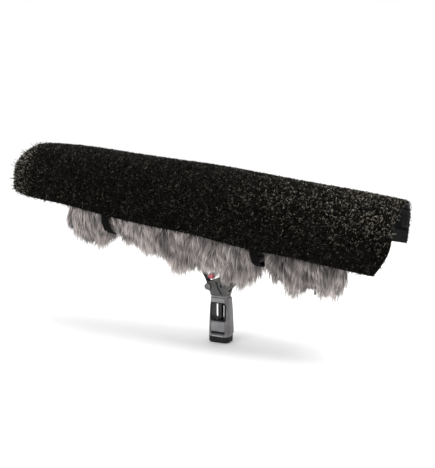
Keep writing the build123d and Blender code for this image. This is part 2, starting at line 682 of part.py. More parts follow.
with BuildPart() as corner_cut:
    # The near flap's rear corner is cut away in one round sweep.
    with BuildSketch(side(-50)):
        with BuildLine():
            ThreePointArc((321, -4), (311, -36), (289, -58))
            Polyline((289, -58), (289, -80), (340, -80), (340, -4), (321, -4))
        make_face()
    extrude(amount=30)
corner = corner_cut.part

skin = hood(0, 0)
under_mat = hood(MAT, 20, shorten=MAT, lengthen=1)
under_lining = hood(MAT + LINING, 20, shorten=MAT + LINING, lengthen=1)
lining_skin = hood(MAT, 0, shorten=MAT)
cover_mat = skin - under_mat - corner
cover_lining = lining_skin - under_lining - corner
save(cover_mat, "cover_mat")
save(cover_lining, "cover_lining")

with BuildPart() as hook_patches:
    for x, half in STRAPS.values():
        outer = half + STRAP_THICKNESS / 2 + 0.1
        with BuildSketch(station(x - STRAP_WIDTH / 2)):
            for hand, bottom, top in ((-1, -50, -26), (1, -32, -24)):
                with Locations((hand * (outer + 0.3), (bottom + top) / 2)):
                    Rectangle(0.6, top - bottom)
        extrude(amount=STRAP_WIDTH)
save(hook_patches.part, "hook_patches")

rim = COVER[0][0]
rim_inner = COVER[0][1] - MAT - LINING - 0.1
with BuildPart() as rear_band:
    with BuildSketch(station(rim - 6)):
        with BuildLine():
            Polyline((-62.8, 9), (rim_inner, -20), (rim_inner, 0), (-56.5, 29), (-62.8, 9))
        make_face()
    extrude(amount=BAND_THICKNESS)
save(rear_band.part, "rear_band")

with BuildPart() as pull_loop:
    with BuildSketch(station(rim - 16)):
        with BuildLine():
            FilletPolyline((46, 42), (53, 32), (53, 12), (rim_inner - 1.2, 6), radius=3)
        trace(line_width=1.6)
    extrude(amount=12)
save(pull_loop.part, "pull_loop")
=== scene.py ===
import json
import math
import bmesh
import bpy
import numpy as np
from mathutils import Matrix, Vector


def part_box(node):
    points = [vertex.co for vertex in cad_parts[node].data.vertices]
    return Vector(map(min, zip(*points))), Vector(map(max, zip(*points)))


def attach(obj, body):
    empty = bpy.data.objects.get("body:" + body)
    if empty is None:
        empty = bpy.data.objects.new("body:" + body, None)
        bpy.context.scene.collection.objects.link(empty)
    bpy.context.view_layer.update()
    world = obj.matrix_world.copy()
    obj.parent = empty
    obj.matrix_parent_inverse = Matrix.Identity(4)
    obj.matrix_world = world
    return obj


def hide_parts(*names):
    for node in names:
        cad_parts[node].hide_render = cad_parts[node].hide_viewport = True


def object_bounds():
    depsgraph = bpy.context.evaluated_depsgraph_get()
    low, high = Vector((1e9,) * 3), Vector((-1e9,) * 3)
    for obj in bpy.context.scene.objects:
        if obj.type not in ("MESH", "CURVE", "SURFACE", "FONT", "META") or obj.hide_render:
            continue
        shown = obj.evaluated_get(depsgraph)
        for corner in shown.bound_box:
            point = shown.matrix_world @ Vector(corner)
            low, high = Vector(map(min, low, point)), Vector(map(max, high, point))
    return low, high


# Furry windscreen: a fur sleeve with two straps under it, a wiry rain cover over it, on a pistol grip.
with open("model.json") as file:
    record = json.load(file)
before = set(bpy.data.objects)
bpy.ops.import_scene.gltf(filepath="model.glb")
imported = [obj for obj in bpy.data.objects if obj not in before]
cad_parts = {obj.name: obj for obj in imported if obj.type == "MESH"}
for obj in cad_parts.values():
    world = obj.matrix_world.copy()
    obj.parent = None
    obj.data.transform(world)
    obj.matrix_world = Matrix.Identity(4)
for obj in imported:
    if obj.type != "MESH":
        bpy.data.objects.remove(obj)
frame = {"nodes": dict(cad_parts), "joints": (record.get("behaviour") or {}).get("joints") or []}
cad_low, cad_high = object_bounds()
nodes = frame["nodes"]
joints = {joint["name"]: joint for joint in frame["joints"]}
rng = np.random.default_rng(7)
MM = 0.001

# === The windshield's own frame: x to the rear, y to the far side, z up from the tube's axis =========
AXIS_RISE = 154 * MM                       # tube axis above the tilt pivot
pivot = np.array(joints["tilt"]["pos_m"], float)
rise = np.array(joints["cover_lift"]["axis"], float)
far_side = np.array(joints["tilt"]["axis"], float)
rearward = np.cross(far_side, rise)
to_local = np.stack([rearward, far_side, rise])
DOWN = to_local @ np.array([0.0, 0.0, -1.0])


def to_world(points):
    """Points of the windshield's own frame, in the row frame."""
    lifted = points + np.array([0, 0, AXIS_RISE])
    return lifted @ to_local + pivot


# === Camera, floor and lights =======================================================================
CAMERA_YAW = math.radians(25.35)
CAMERA_RISE = math.radians(12)
CAMERA_DISTANCE = 1.875
CAMERA_TARGET = Vector((-0.0074, 0, 0.2077))
SENSOR = 36
FOCAL_WIDTHS = 1000 / 435                  # focal length, in widths of the picture

camera = bpy.data.objects.new("camera", bpy.data.cameras.new("camera"))
bpy.context.scene.collection.objects.link(camera)
bpy.context.scene.camera = camera
view_back = Vector((
    math.sin(CAMERA_YAW) * math.cos(CAMERA_RISE),
    -math.cos(CAMERA_YAW) * math.cos(CAMERA_RISE),
    math.sin(CAMERA_RISE),
))
view_right = Vector((math.cos(CAMERA_YAW), math.sin(CAMERA_YAW), 0))
camera.location = CAMERA_TARGET + CAMERA_DISTANCE * view_back
camera.rotation_euler = view_back.to_track_quat("Z", "Y").to_euler()
camera.data.sensor_fit = "HORIZONTAL"
camera.data.sensor_width = SENSOR
camera.data.lens = SENSOR * FOCAL_WIDTHS
camera.data.clip_end = 60


def soft_light(name, right, up, back, size, watts, tint=(1, 1, 1)):
    """Area light placed from the camera's target by metres right, up and towards the camera."""
    data = bpy.data.lights.new(name, "AREA")
    data.shape = "DISK"
    data.size = size
    data.energy = watts
    data.color = tint
    lamp = bpy.data.objects.new(name, data)
    bpy.context.scene.collection.objects.link(lamp)
    offset = right * view_right + up * Vector((0, 0, 1)) + back * view_back
    lamp.location = CAMERA_TARGET + offset
    lamp.rotation_euler = offset.to_track_quat("Z", "Y").to_euler()


soft_light("key", 1.3, 1.9, 0.7, 1.1, 34, (1.0, 0.97, 0.93))
soft_light("fill", -1.5, 0.9, 1.7, 1.8, 16, (0.93, 0.96, 1.0))
soft_light("top", -0.2, 2.2, -0.6, 1.6, 18)

world = bpy.data.worlds.new("studio")
bpy.context.scene.world = world
world.use_nodes = True
world.node_tree.nodes["Background"].inputs["Color"].default_value = (1, 1, 1, 1)
world.node_tree.nodes["Background"].inputs["Strength"].default_value = 1.0
bpy.context.scene.view_settings.view_transform = "Standard"


# === Materials ======================================================================================
class Shader:
    """Node graph of one procedural material, built node by node."""

    def __init__(self, name):
        self.material = bpy.data.materials.new(name)
        self.material.use_nodes = True
        self.tree = self.material.node_tree
        self.surface = self.tree.nodes["Principled BSDF"]
        self.place = self.add("ShaderNodeTexCoord").outputs["Object"]

    def add(self, kind, **settings):
        node = self.tree.nodes.new(kind)
        for key, value in settings.items():
            setattr(node, key, value)
        return node

    def put(self, node, name, value):
        """Set a socket of a node to a number or to another socket."""
        if isinstance(value, bpy.types.NodeSocket):
            self.tree.links.new(value, node.inputs[name])
        else:
            node.inputs[name].default_value = value

    def noise(self, scale, detail=2.0, rough=0.5, stretch=None):
        """Noise of about 1 / scale metres, drawn out along an axis where stretch is smaller."""
        node = self.add("ShaderNodeTexNoise")
        self.put(node, "Vector", self.place if stretch is None else self.stretched(stretch))
        self.put(node, "Scale", scale)
        self.put(node, "Detail", detail)
        self.put(node, "Roughness", rough)
        return node.outputs["Fac"]

    def stretched(self, stretch):
        node = self.add("ShaderNodeMapping")
        self.put(node, "Vector", self.place)
        self.put(node, "Scale", stretch)
        return node.outputs["Vector"]

    def cells(self, scale, feature="F1"):
        node = self.add("ShaderNodeTexVoronoi", feature=feature)
        self.put(node, "Vector", self.place)
        self.put(node, "Scale", scale)
        return node.outputs["Distance"]

    def ramp(self, factor, *stops):
        """Colour ramp over factor, with stops of (position, colour or grey)."""
        node = self.add("ShaderNodeValToRGB")
        self.put(node, "Fac", factor)
        band = node.color_ramp.elements
        while len(band) < len(stops):
            band.new(0.5)
        for stop, (position, colour) in zip(band, stops):
            stop.position = position
            stop.color = (*colour, 1) if isinstance(colour, tuple) else (colour, colour, colour, 1)
        return node.outputs["Color"]

    def mix(self, factor, first, second, blend="MIX"):
        node = self.add("ShaderNodeMix", data_type="RGBA", blend_type=blend)
        self.put(node, "Factor", factor)
        for name, value in (("A", first), ("B", second)):
            socket = next(s for s in node.inputs if s.name == name and s.type == "RGBA")
            if isinstance(value, bpy.types.NodeSocket):
                self.tree.links.new(value, socket)
            else:
                socket.default_value = (*value, 1)
        return next(s for s in node.outputs if s.type == "RGBA")

    def math(self, operation, first, second=0.0):
        node = self.add("ShaderNodeMath", operation=operation)
        for index, value in enumerate((first, second)):
            if isinstance(value, bpy.types.NodeSocket):
                self.tree.links.new(value, node.inputs[index])
            else:
                node.inputs[index].default_value = value
        return node.outputs[0]

    def bump(self, height, distance, strength=1.0):
        node = self.add("ShaderNodeBump")
        self.put(node, "Height", height)
        self.put(node, "Distance", distance)
        self.put(node, "Strength", strength)
        self.put(self.surface, "Normal", node.outputs["Normal"])

    def finish(self, colour, rough, **other):
        self.put(self.surface, "Base Color", colour)
        self.put(self.surface, "Roughness", rough)
        for name, value in other.items():
            self.put(self.surface, name.replace("_", " "), value)
        return self.material


def moulded(name, light, dark, rough, grain, depth, wear=0.12, coat=0.0, shine=0.5):
    """Moulded plastic or rubber: mottled tone, fine spark-eroded grain, scuffs that lighten it."""
    s = Shader(name)
    patches = s.ramp(s.noise(55, 3), (0.35, 0.0), (0.7, 1.0))
    tone = s.mix(patches, dark, light)
    scuffs = s.ramp(s.noise(240, 5, 0.7), (0.6, 0.0), (0.78, wear))
    worn = tuple(min(1, 1.5 * c + 0.05) for c in light)
    fine = s.noise(grain, 2, 0.6)
    rough_map = s.math("ADD", s.math("MULTIPLY", s.noise(90, 3), 0.22), rough - 0.11)
    s.bump(s.math("ADD", fine, s.math("MULTIPLY", s.cells(grain * 0.6), 0.7)), depth)
    return s.finish(s.mix(scuffs, tone, worn), rough_map, Coat_Weight=coat, Specular_IOR_Level=shine)


def metal(name, colour, rough, stretch):
    """Machined metal: drawn-out tool marks and faint stains."""
    s = Shader(name)
    marks = s.noise(900, 3, 0.6, stretch)
    stains = s.ramp(s.noise(120, 4), (0.3, 0.0), (0.75, 0.55))
    dull = tuple(0.55 * c for c in colour)
    s.bump(marks, 0.00006)
    rough_map = s.math("ADD", s.math("MULTIPLY", marks, 0.25), rough - 0.1)
    return s.finish(s.mix(stains, colour, dull), rough_map, Metallic=1.0)


def woven(name, light, dark, pitch, depth, shine):
    """Woven tape: crossing ribs along the piece's own cloth map, flecked and a little shiny."""
    s = Shader(name)
    cloth = s.add("ShaderNodeUVMap", uv_map="Cloth").outputs["UV"]
    parts = s.add("ShaderNodeSeparateXYZ")
    s.put(parts, "Vector", cloth)
    warp = s.math("SINE", s.math("MULTIPLY", parts.outputs["X"], 2 * math.pi / pitch))
    weft = s.math("SINE", s.math("MULTIPLY", parts.outputs["Y"], 2 * math.pi / pitch))
    height = s.math("MULTIPLY", warp, weft)
    flecks = s.ramp(s.noise(700, 4, 0.7), (0.35, 0.0), (0.7, 1.0))
    ribs = s.ramp(s.math("ADD", s.math("MULTIPLY", height, 0.4), 0.5), (0.1, 0.45), (0.9, 1.0))
    colour = s.mix(1.0, s.mix(flecks, dark, light), ribs, "MULTIPLY")
    s.bump(height, depth)
    return s.finish(colour, 0.62, Specular_IOR_Level=shine)


def strand_material(name, root, tip, rough, sheen, fleck_scale, shine):
    """Hair or wire: root to tip colour, with painted shade darkening each strand towards its root, and
    each strand's own tone come from its Tone attribute.
    """
    s = Shader(name)
    tone = s.add("ShaderNodeAttribute", attribute_name="Tone")
    parts = s.add("ShaderNodeSeparateColor")
    s.put(parts, "Color", tone.outputs["Color"])
    along, own, warm = (parts.outputs[i] for i in range(3))
    # Dark roots are painted shade where the strands crowd together.
    body = s.mix(s.ramp(along, (0.0, 0.0), (0.55, 0.75), (1.0, 1.0)), root, tip)
    cast = s.mix(warm, (0.97, 0.98, 1.0), (1.05, 0.99, 0.97))
    tinted = s.mix(1.0, body, cast, "MULTIPLY")
    shade = s.math("ADD", s.math("MULTIPLY", own, 1.5), 0.25)
    flecks = s.math("ADD", s.math("MULTIPLY", s.noise(fleck_scale, 3), 0.5), 0.75)
    strength = s.math("MULTIPLY", shade, flecks)
    grey = s.add("ShaderNodeCombineColor")
    for channel in ("Red", "Green", "Blue"):
        s.put(grey, channel, strength)
    s.bump(s.noise(2500, 2, 0.5), 0.00005)
    return s.finish(
        s.mix(1.0, tinted, grey.outputs["Color"], "MULTIPLY"), rough,
        Sheen_Weight=sheen, Sheen_Roughness=0.5, Specular_IOR_Level=shine,
    )


def fabric(name, light, dark, scale, depth, rough=0.85, sheen=0.0, shine=0.15):
    """Close cloth or felt without a weave of its own: clouded tone and matted fibres."""
    s = Shader(name)
    clouds = s.ramp(s.noise(45, 4), (0.35, 0.0), (0.7, 1.0))
    specks = s.ramp(s.noise(scale, 4, 0.75), (0.4, 0.55), (0.65, 1.0))
    s.bump(s.math("ADD", s.noise(scale, 3, 0.7), s.cells(scale * 0.5)), depth)
    colour = s.mix(1.0, s.mix(clouds, dark, light), specks, "MULTIPLY")
    return s.finish(colour, rough, Sheen_Weight=sheen, Specular_IOR_Level=shine)


def studio_floor():
    """Plain white floor that brightens into the backdrop away from the middle."""
    s = Shader("studio_floor")
    length = s.add("ShaderNodeVectorMath", operation="LENGTH")
    s.put(length, "Vector", s.place)
    glow = s.ramp(s.math("MULTIPLY", length.outputs["Value"], 0.3), (0.12, 0.0), (0.75, 1.0))
    tone = s.ramp(s.noise(3, 2), (0.3, 0.88), (0.7, 0.9))
    s.put(s.surface, "Emission Color", (1, 1, 1, 1))
    s.put(s.surface, "Emission Strength", s.math("MULTIPLY", glow, 1.0))
    return s.finish(s.mix(glow, tone, (0.0, 0.0, 0.0)), 0.95, Specular_IOR_Level=0.0)


MATERIALS = {
    "grip_plastic": moulded(
        "grip_plastic", (0.180, 0.173, 0.174), (0.115, 0.110, 0.111), 0.52, 2600, 0.00012,
    ),
    # The head fork's plastic, darker than the grip's: painted shade from the fur over the head.
    "shaded_head_plastic": moulded(
        "shaded_head_plastic", (0.070, 0.067, 0.066), (0.026, 0.025, 0.024), 0.55, 2600, 0.00012,
    ),
    "plate_plastic": moulded(
        "plate_plastic", (0.250, 0.250, 0.255), (0.150, 0.150, 0.155), 0.60, 900, 0.00040,
    ),
    "label_blank": moulded(
        "label_blank", (0.340, 0.340, 0.340), (0.270, 0.270, 0.275), 0.45, 1800, 0.00006,
    ),
    "frame_plastic": moulded(
        "frame_plastic", (0.009, 0.009, 0.010), (0.004, 0.004, 0.005), 0.45, 2200, 0.00008,
        wear=0.06, coat=0, shine=0.12,
    ),
    "grip_rubber": moulded(
        "grip_rubber", (0.014, 0.014, 0.014), (0.007, 0.007, 0.007), 0.70, 1500, 0.00020,
        wear=0.2, coat=0, shine=0.2,
    ),
    "button_red": moulded(
        "button_red", (0.800, 0.140, 0.200), (0.700, 0.100, 0.150), 0.40, 3000, 0.00004,
        wear=0.15, coat=0.3,
    ),
    "basket_plastic": moulded(
        "basket_plastic", (0.045, 0.045, 0.047), (0.025, 0.025, 0.026), 0.5, 1800, 0.00010,
    ),
    "lyre_plastic": moulded(
        "lyre_plastic", (0.040, 0.042, 0.045), (0.020, 0.021, 0.024), 0.42, 1800, 0.00006,
    ),
    "steel": metal("steel", (0.56, 0.56, 0.57), 0.34, (1, 0.05, 1)),
    "alloy": metal("alloy", (0.42, 0.42, 0.43), 0.42, (1, 1, 0.05)),
    "brass": metal("brass", (0.72, 0.52, 0.24), 0.32, (1, 1, 0.05)),
    "zip_black": fabric("zip_black", (0.030, 0.030, 0.032), (0.012, 0.012, 0.013), 1600, 0.00020),
    "webbing": woven("webbing", (0.007, 0.0065, 0.006), (0.003, 0.003, 0.003), 2.4 * MM, 0.0004, 0.03),
    "hook_tape": fabric("hook_tape", (0.020, 0.020, 0.022), (0.008, 0.008, 0.009), 1300, 0.0005),
    "band_black": fabric(
        "band_black", (0.004, 0.004, 0.0045), (0.002, 0.002, 0.002), 1300, 0.0003, rough=0.8, shine=0.02,
    ),
    "mat_black": fabric(
        "mat_black", (0.004, 0.0036, 0.0028), (0.002, 0.0018, 0.0015), 420, 0.0012, rough=0.9, shine=0.0,
    ),
    "lining_black": fabric(
        "lining_black", (0.008, 0.010, 0.012), (0.004, 0.005, 0.006), 1100, 0.0002, rough=0.45, shine=0.10,
    ),
    "fur_backing": fabric("fur_backing", (0.060, 0.056, 0.058), (0.030, 0.028, 0.030), 900, 0.0008),
    # The dark root colours of pile and wires are painted shade at the roots.
    "fur_grey": strand_material(
        "fur_grey", (0.070, 0.062, 0.060), (0.48, 0.440, 0.425), 0.6, 0.2, 160, 0.35,
    ),
    "wire_black": strand_material(
        "wire_black", (0.003, 0.0027, 0.002), (0.019, 0.018, 0.015), 0.42, 0.0, 300, 0.05,
    ),
    "dark_steel": metal("dark_steel", (0.10, 0.10, 0.105), 0.45, (1, 0.05, 1)),
    "pin_steel": metal("pin_steel", (0.19, 0.185, 0.18), 0.5, (1, 0.05, 1)),
    "black_steel": metal("black_steel", (0.045, 0.045, 0.047), 0.30, (1, 1, 0.05)),
    "studio_floor": studio_floor(),
}


def mesh_object(name, mesh, material):
    """New object with its material, at the origin of the row frame."""
    piece = bpy.data.objects.new(name, mesh)
    bpy.context.scene.collection.objects.link(piece)
    mesh.materials.append(MATERIALS[material])
    return piece


# === Grids and strands ==============================================================================
def unit(vectors):
    return vectors / np.maximum(np.linalg.norm(vectors, axis=-1, keepdims=True), 1e-9)


def eased(points, x, spread):
    """Values through (x, value) points, with their corners rounded over about spread."""
    knots, values = np.array(sorted(points), float).T
    offsets = np.linspace(-2, 2, 17)
    weights = np.exp(-offsets ** 2)
    near = [np.interp(x + spread * o, knots, values) * w for o, w in zip(offsets, weights)]
    return sum(near) / weights.sum()


class Skin:
    """A curved sheet held as a grid of points, with outward normals."""

    def __init__(self, points):
        self.points = points
        along, across = np.gradient(points, axis=0), np.gradient(points, axis=1)
        self.normals = unit(np.cross(across, along))
        lead = points[1:, 1:] - points[:-1, :-1]
        trail = points[1:, :-1] - points[:-1, 1:]
        self.areas = 0.5 * np.linalg.norm(np.cross(lead, trail), axis=-1)
        self.centres = 0.25 * (points[1:, 1:] + points[:-1, :-1] + points[1:, :-1] + points[:-1, 1:])

    def scatter(self, count, weight=1.0):
        """Random grid places, evenly by area times weight."""
        share = (self.areas * weight).ravel()
        cells = rng.choice(share.size, count, p=share / share.sum())
        row, column = np.unravel_index(cells, self.areas.shape)
        return row + rng.random(count), column + rng.random(count)

    def at(self, row, column):
        """Points and normals at grid places."""
        rows, columns = self.points.shape[:2]
        row = np.clip(row, 0, rows - 1.001)
        column = np.clip(column, 0, columns - 1.001)
        r, c = row.astype(int), column.astype(int)
        f, g = (row - r)[:, None], (column - c)[:, None]
        found = []
        for field in (self.points, self.normals):
            low = field[r, c] * (1 - g) + field[r, c + 1] * g
            high = field[r + 1, c] * (1 - g) + field[r + 1, c + 1] * g
            found.append(low * (1 - f) + high * f)
        return found[0], unit(found[1])

    def object(self, name, material, thickness, hole=None):
        """Closed sheet of the given thickness under the skin, open where hole(centre) says."""
        rows, columns = self.points.shape[:2]
        mesh = bpy.data.meshes.new(name)
        index = np.arange(rows * columns).reshape(rows, columns)
        quads = np.stack([index[:-1, :-1], index[:-1, 1:], index[1:, 1:], index[1:, :-1]], axis=-1)
        kept = quads.reshape(-1, 4)
        if hole is not None:
            kept = kept[~hole(self.centres).ravel()]
        mesh.from_pydata(to_world(self.points).reshape(-1, 3).tolist(), [], kept.tolist())
        shape = bmesh.new()
        shape.from_mesh(mesh)
        bmesh.ops.remove_doubles(shape, verts=shape.verts, dist=0.05 * MM)
        bmesh.ops.delete(shape, geom=[v for v in shape.verts if not v.link_faces], context="VERTS")
        bmesh.ops.recalc_face_normals(shape, faces=shape.faces)
        shape.to_mesh(mesh)
        shape.free()
        mesh.shade_smooth()
        piece = mesh_object(name, mesh, material)
        shell = piece.modifiers.new("thickness", "SOLIDIFY")
        shell.thickness = thickness
        shell.offset = -1
        return piece


def at_fractions(paths, fractions):
    """Points at the given fractions of each path, from 0 at the root to 1 at the tip."""
    count, steps = paths.shape[:2]
    place = np.clip(fractions, 0, 1) * (steps - 1)
    low = np.minimum(place.astype(int), steps - 2)
    share = (place - low)[..., None]
    own = np.arange(count)[:, None]
    return paths[own, low] * (1 - share) + paths[own, low + 1] * share


def ribbons(name, paths, widths, sides, tones, material):
    """One mesh of flat tapering strands, each with its own cell of the texture map."""
    count, steps = paths.shape[:2]
    half = 0.5 * widths[..., None] * sides
    corners = np.stack([paths - half, paths + half], axis=2)
    mesh = bpy.data.meshes.new(name)
    mesh.vertices.add(corners.size // 3)
    mesh.vertices.foreach_set("co", to_world(corners).ravel())
    first = 2 * (np.arange(count)[:, None] * steps + np.arange(steps - 1))
    quads = np.stack([first, first + 1, first + 3, first + 2], axis=-1).reshape(-1, 4)
    mesh.loops.add(quads.size)
    mesh.loops.foreach_set("vertex_index", quads.ravel())
    mesh.polygons.add(len(quads))
    mesh.polygons.foreach_set("loop_start", np.arange(0, quads.size, 4))
    mesh.update(calc_edges=True)
    mesh.shade_smooth()
    colour = mesh.attributes.new("Tone", "FLOAT_COLOR", "POINT")
    opaque = np.concatenate([tones, np.ones((*tones.shape[:2], 1))], axis=-1)
    colour.data.foreach_set("color", np.repeat(opaque[:, :, None], 2, axis=2).ravel())
    cells = math.ceil(math.sqrt(count))
    own = np.arange(count)
    cell = np.stack([own % cells, own // cells], axis=-1)[:, None, None]
    step = np.arange(steps - 1)[:, None]
    across = np.tile([0.1, 0.9, 0.9, 0.1], (steps - 1, 1))
    up = 0.1 + 0.8 * (step + np.array([0, 0, 1, 1])) / (steps - 1)
    places = (cell + np.stack([across, up], axis=-1)) / cells
    mesh.uv_layers.new(name="OFBake").data.foreach_set("uv", places.ravel())
    return mesh_object(name, mesh, material)


def turned(vectors, axes, angles):
    """Vectors turned about unit axes square to them."""
    return vectors * np.cos(angles)[..., None] + np.cross(axes, vectors) * np.sin(angles)[..., None]


def strand_sides(paths, outward, twist):
    """Width directions that face the strands outward, turned about their length by twist."""
    run = unit(np.gradient(paths, axis=1))
    return turned(unit(np.cross(run, outward[:, None])), run, twist[:, None] * np.ones(paths.shape[1]))


# === Rain cover =====================================================================================
# Station, half width, centre height, near and far lower edges, all in mm.
COVER = np.array([
    (320, 70, 0, -57, -22),
    (192, 72, 0, -57.5, -28),
    (42, 72, 0, -54.5, -34),
    (-108, 70, 0, -53.5, -38),
    (-258, 65, 0, -52.5, -42),
    (-358, 61, -1, -49, -44),
    (-428, 55, -4, -48, -46),
    (-458, 43, -14, -47, -47),
    (-467, 33, -18, -45, -45),
    (-473, 19, -24, -41, -41),
    (-476, 8, -28, -35, -35),
], float)
COVER_STEPS = [30, 38, 38, 38, 25, 18, 10, 7, 4, 2]     # rows from each station to the next
MAT = 5.0                                  # with its loose wires
LINING = 1.0
WIRE_PILE = 3.0                            # loose wires over the solid part of the mat
NOSE_BRISTLES = -405.0                     # station ahead of which more wires stand free
CROWN_DROP, CROWN_HEIGHT = 3.5, 60.0       # how far the top of the cover has settled, from this height up
RIM_CORNER = (-4.0, 50.0, 20.0)            # near flap's rear corner: starts at, depth, cut forward
RIM_SLANT = 4.0                            # the far side of the rim ends this much further forward
RIM_FROM = 192.0                           # station behind which the rim's shape begins


def cover_rows():
    """Cover stations, closer together towards the nose, on a smooth curve through the table."""
    knots = np.vstack([2 * COVER[0] - COVER[1], COVER, 2 * COVER[-1] - COVER[-2]])
    rows = []
    for k, count in enumerate(COVER_STEPS):
        a, b, c, d = knots[k:k + 4]
        m0 = (c - a) / (c[0] - a[0]) * (c[0] - b[0])
        m1 = (d - b) / (d[0] - b[0]) * (c[0] - b[0])
        for t in np.arange(count) / count:
            start, finish = 2 * t ** 3 - 3 * t ** 2 + 1, 3 * t ** 2 - 2 * t ** 3
            leaving, arriving = t ** 3 - 2 * t ** 2 + t, t ** 3 - t ** 2
            rows.append(start * b + leaving * m0 + finish * c + arriving * m1)
    rows.append(COVER[-1])
    return np.array(rows)


def hood_skin(inset, columns=84):
    """Grid of one layer of the cover, inset from its outer face."""
    rows = []
    for x, half, centre, near, far in cover_rows():
        half = max(half - inset, 1.0)
        centre = centre if half > 1 else near
        near_drop, far_drop = centre - near, centre - far
        total = near_drop + math.pi * half + far_drop
        s = np.linspace(0, total, columns)
        turn = np.clip((s - near_drop) / half, 0, math.pi)
        y = -half * np.cos(turn)
        flaps = np.maximum(near_drop - s, 0) + np.maximum(s - total + far_drop, 0)
        z = centre + half * np.sin(turn) - flaps
        start, depth, cut = RIM_CORNER
        near_cut = cut * np.clip((start - z) / depth, 0, 1.1) ** 1.5
        rounding = np.where(y < 0, near_cut, RIM_SLANT * y / half)
        past = np.clip((x - RIM_FROM) / (COVER[0, 0] - RIM_FROM), 0, 1)
        # The flaps hang a little unevenly, and the top is not quite straight.
        slack = np.clip(-z / 50, 0, 1)
        sway = 1.6 * math.sin(x / 61 + 0.6) + 1.0 * math.sin(x / 23)
        y = y + np.sign(y) * slack * sway
        z = z + 0.8 * math.sin(x / 47 + 2) * np.clip(z / 40, 0, 1) - slack * 1.3 * math.sin(x / 37)
        z = z - CROWN_DROP * np.clip(z / CROWN_HEIGHT, 0, 1)
        rows.append(np.stack([x - past * rounding, y, z], axis=-1))
    return Skin(np.array(rows) * MM)


mat_skin = hood_skin(WIRE_PILE)
if np.mean(mat_skin.normals[..., 2]) < 0:
    mat_skin.normals *= -1
rain_mat = mat_skin.object("rain_mat", "mat_black", (MAT - WIRE_PILE - 0.2) * MM)
lining_skin = hood_skin(MAT)
rain_lining = lining_skin.object("rain_lining", "lining_black", LINING * MM)
layers = ((rain_mat, "cover_mat", "mat_black"), (rain_lining, "cover_lining", "lining_black"))
for piece, node, slot in layers:
    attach(piece, "rain_cover")
    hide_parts(node)


WIRE_STEPS = 4
WIRE_REACH, WIRE_HEIGHT = (3.2, 7.0), (1.0, 4.2)
WIRE_WIDTH, GLINT_WIDTH = 0.9, 1.5         # of most wires, and of the lighter wires that are painted glints


def wires(name, count, keep):
    """Curled wires standing in the mat: low loops, with some ends that stick out."""
    row, column = mat_skin.scatter(count, keep(mat_skin.centres))
    root, normal = mat_skin.at(row, column)
    t = np.linspace(0, 1, WIRE_STEPS)[None, :, None]
    sideways = unit(np.cross(normal, rng.normal(size=(count, 3))))
    other = np.cross(normal, sideways)
    # At the nose more ends stand free. Lighter wires stand for glints as painted highlights, more and
    # brighter towards the rear's upper side and at the nose.
    at_nose = np.clip((NOSE_BRISTLES - root[:, 0] / MM) / 30, 0, 1)[:, None, None]
    painted_light_rear_top = np.clip((root[:, :1] / MM + 60) / 330, 0, 1) * np.clip((root[:, 2:] / MM + 30) / 70, 0, 1)
    free = rng.random((count, 1, 1)) < 0.35 + 0.4 * at_nose
    reach = rng.uniform(*WIRE_REACH, (count, 1, 1)) * MM
    tall = 1 + 1.3 * at_nose * (rng.random((count, 1, 1)) < 0.05)
    height = rng.uniform(*WIRE_HEIGHT, (count, 1, 1)) * (1 + 0.25 * at_nose) * tall * MM
    curl = rng.normal(0, 1.5, (count, 1, 1)) * MM
    loop = np.sin(math.pi * t) * height
    spike = (1 - (1 - t) ** 2) * height * 1.15
    paths = root[:, None] + sideways[:, None] * reach * np.where(free, 0.5 * t, t)
    paths = paths + normal[:, None] * (np.where(free, spike, loop) - 0.3 * MM)
    paths = paths + other[:, None] * curl * np.sin(2.2 * math.pi * t * rng.uniform(0.4, 1, (count, 1, 1)))
    glint = rng.random((count, 1)) < 0.10 + 0.10 * painted_light_rear_top + 0.22 * at_nose[:, 0]
    # Taller wires are painted lighter: painted highlight on what stands up.
    top = np.clip(height[:, 0] / (WIRE_HEIGHT[1] * MM), 0, 1)
    widths = np.where(glint, GLINT_WIDTH, WIRE_WIDTH) * MM * np.linspace(1.0, 0.55, WIRE_STEPS)[None]
    bright = rng.uniform(0.8, 3.2, (count, 1)) * (1 + 2.6 * painted_light_rear_top + 2.2 * at_nose[:, 0]) * top
    own = np.where(glint, bright, 0.12 * rng.random((count, 1)))
    tones = np.stack(np.broadcast_arrays(t[..., 0] ** 0.5, own, rng.random((count, 1))), axis=-1)
    sides = strand_sides(paths, normal, rng.uniform(-0.9, 0.9, count))
    piece = ribbons(name, paths, widths, sides, tones, "wire_black")
    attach(piece, "rain_cover")
    return piece


def between(front, rear):
    """Weight of 1 for places with x from front to rear, in mm."""
    return lambda p: ((p[..., 0] >= front * MM) & (p[..., 0] < rear * MM)).astype(float)


wire_pieces = [
    wires("nose_wires", 19000, between(-520, -300)),
    wires("front_wires", 22000, between(-300, -60)),
    wires("middle_wires", 22000, between(-60, 150)),
    wires("rear_wires", 19000, between(150, 330)),
]

# === Fur sleeve =====================================================================================
FUR_NOSE, FUR_TAIL = -348.0, 248.0
FUR_SHOULDER, FUR_HIP = -293.0, 203.0      # where the round ends begin
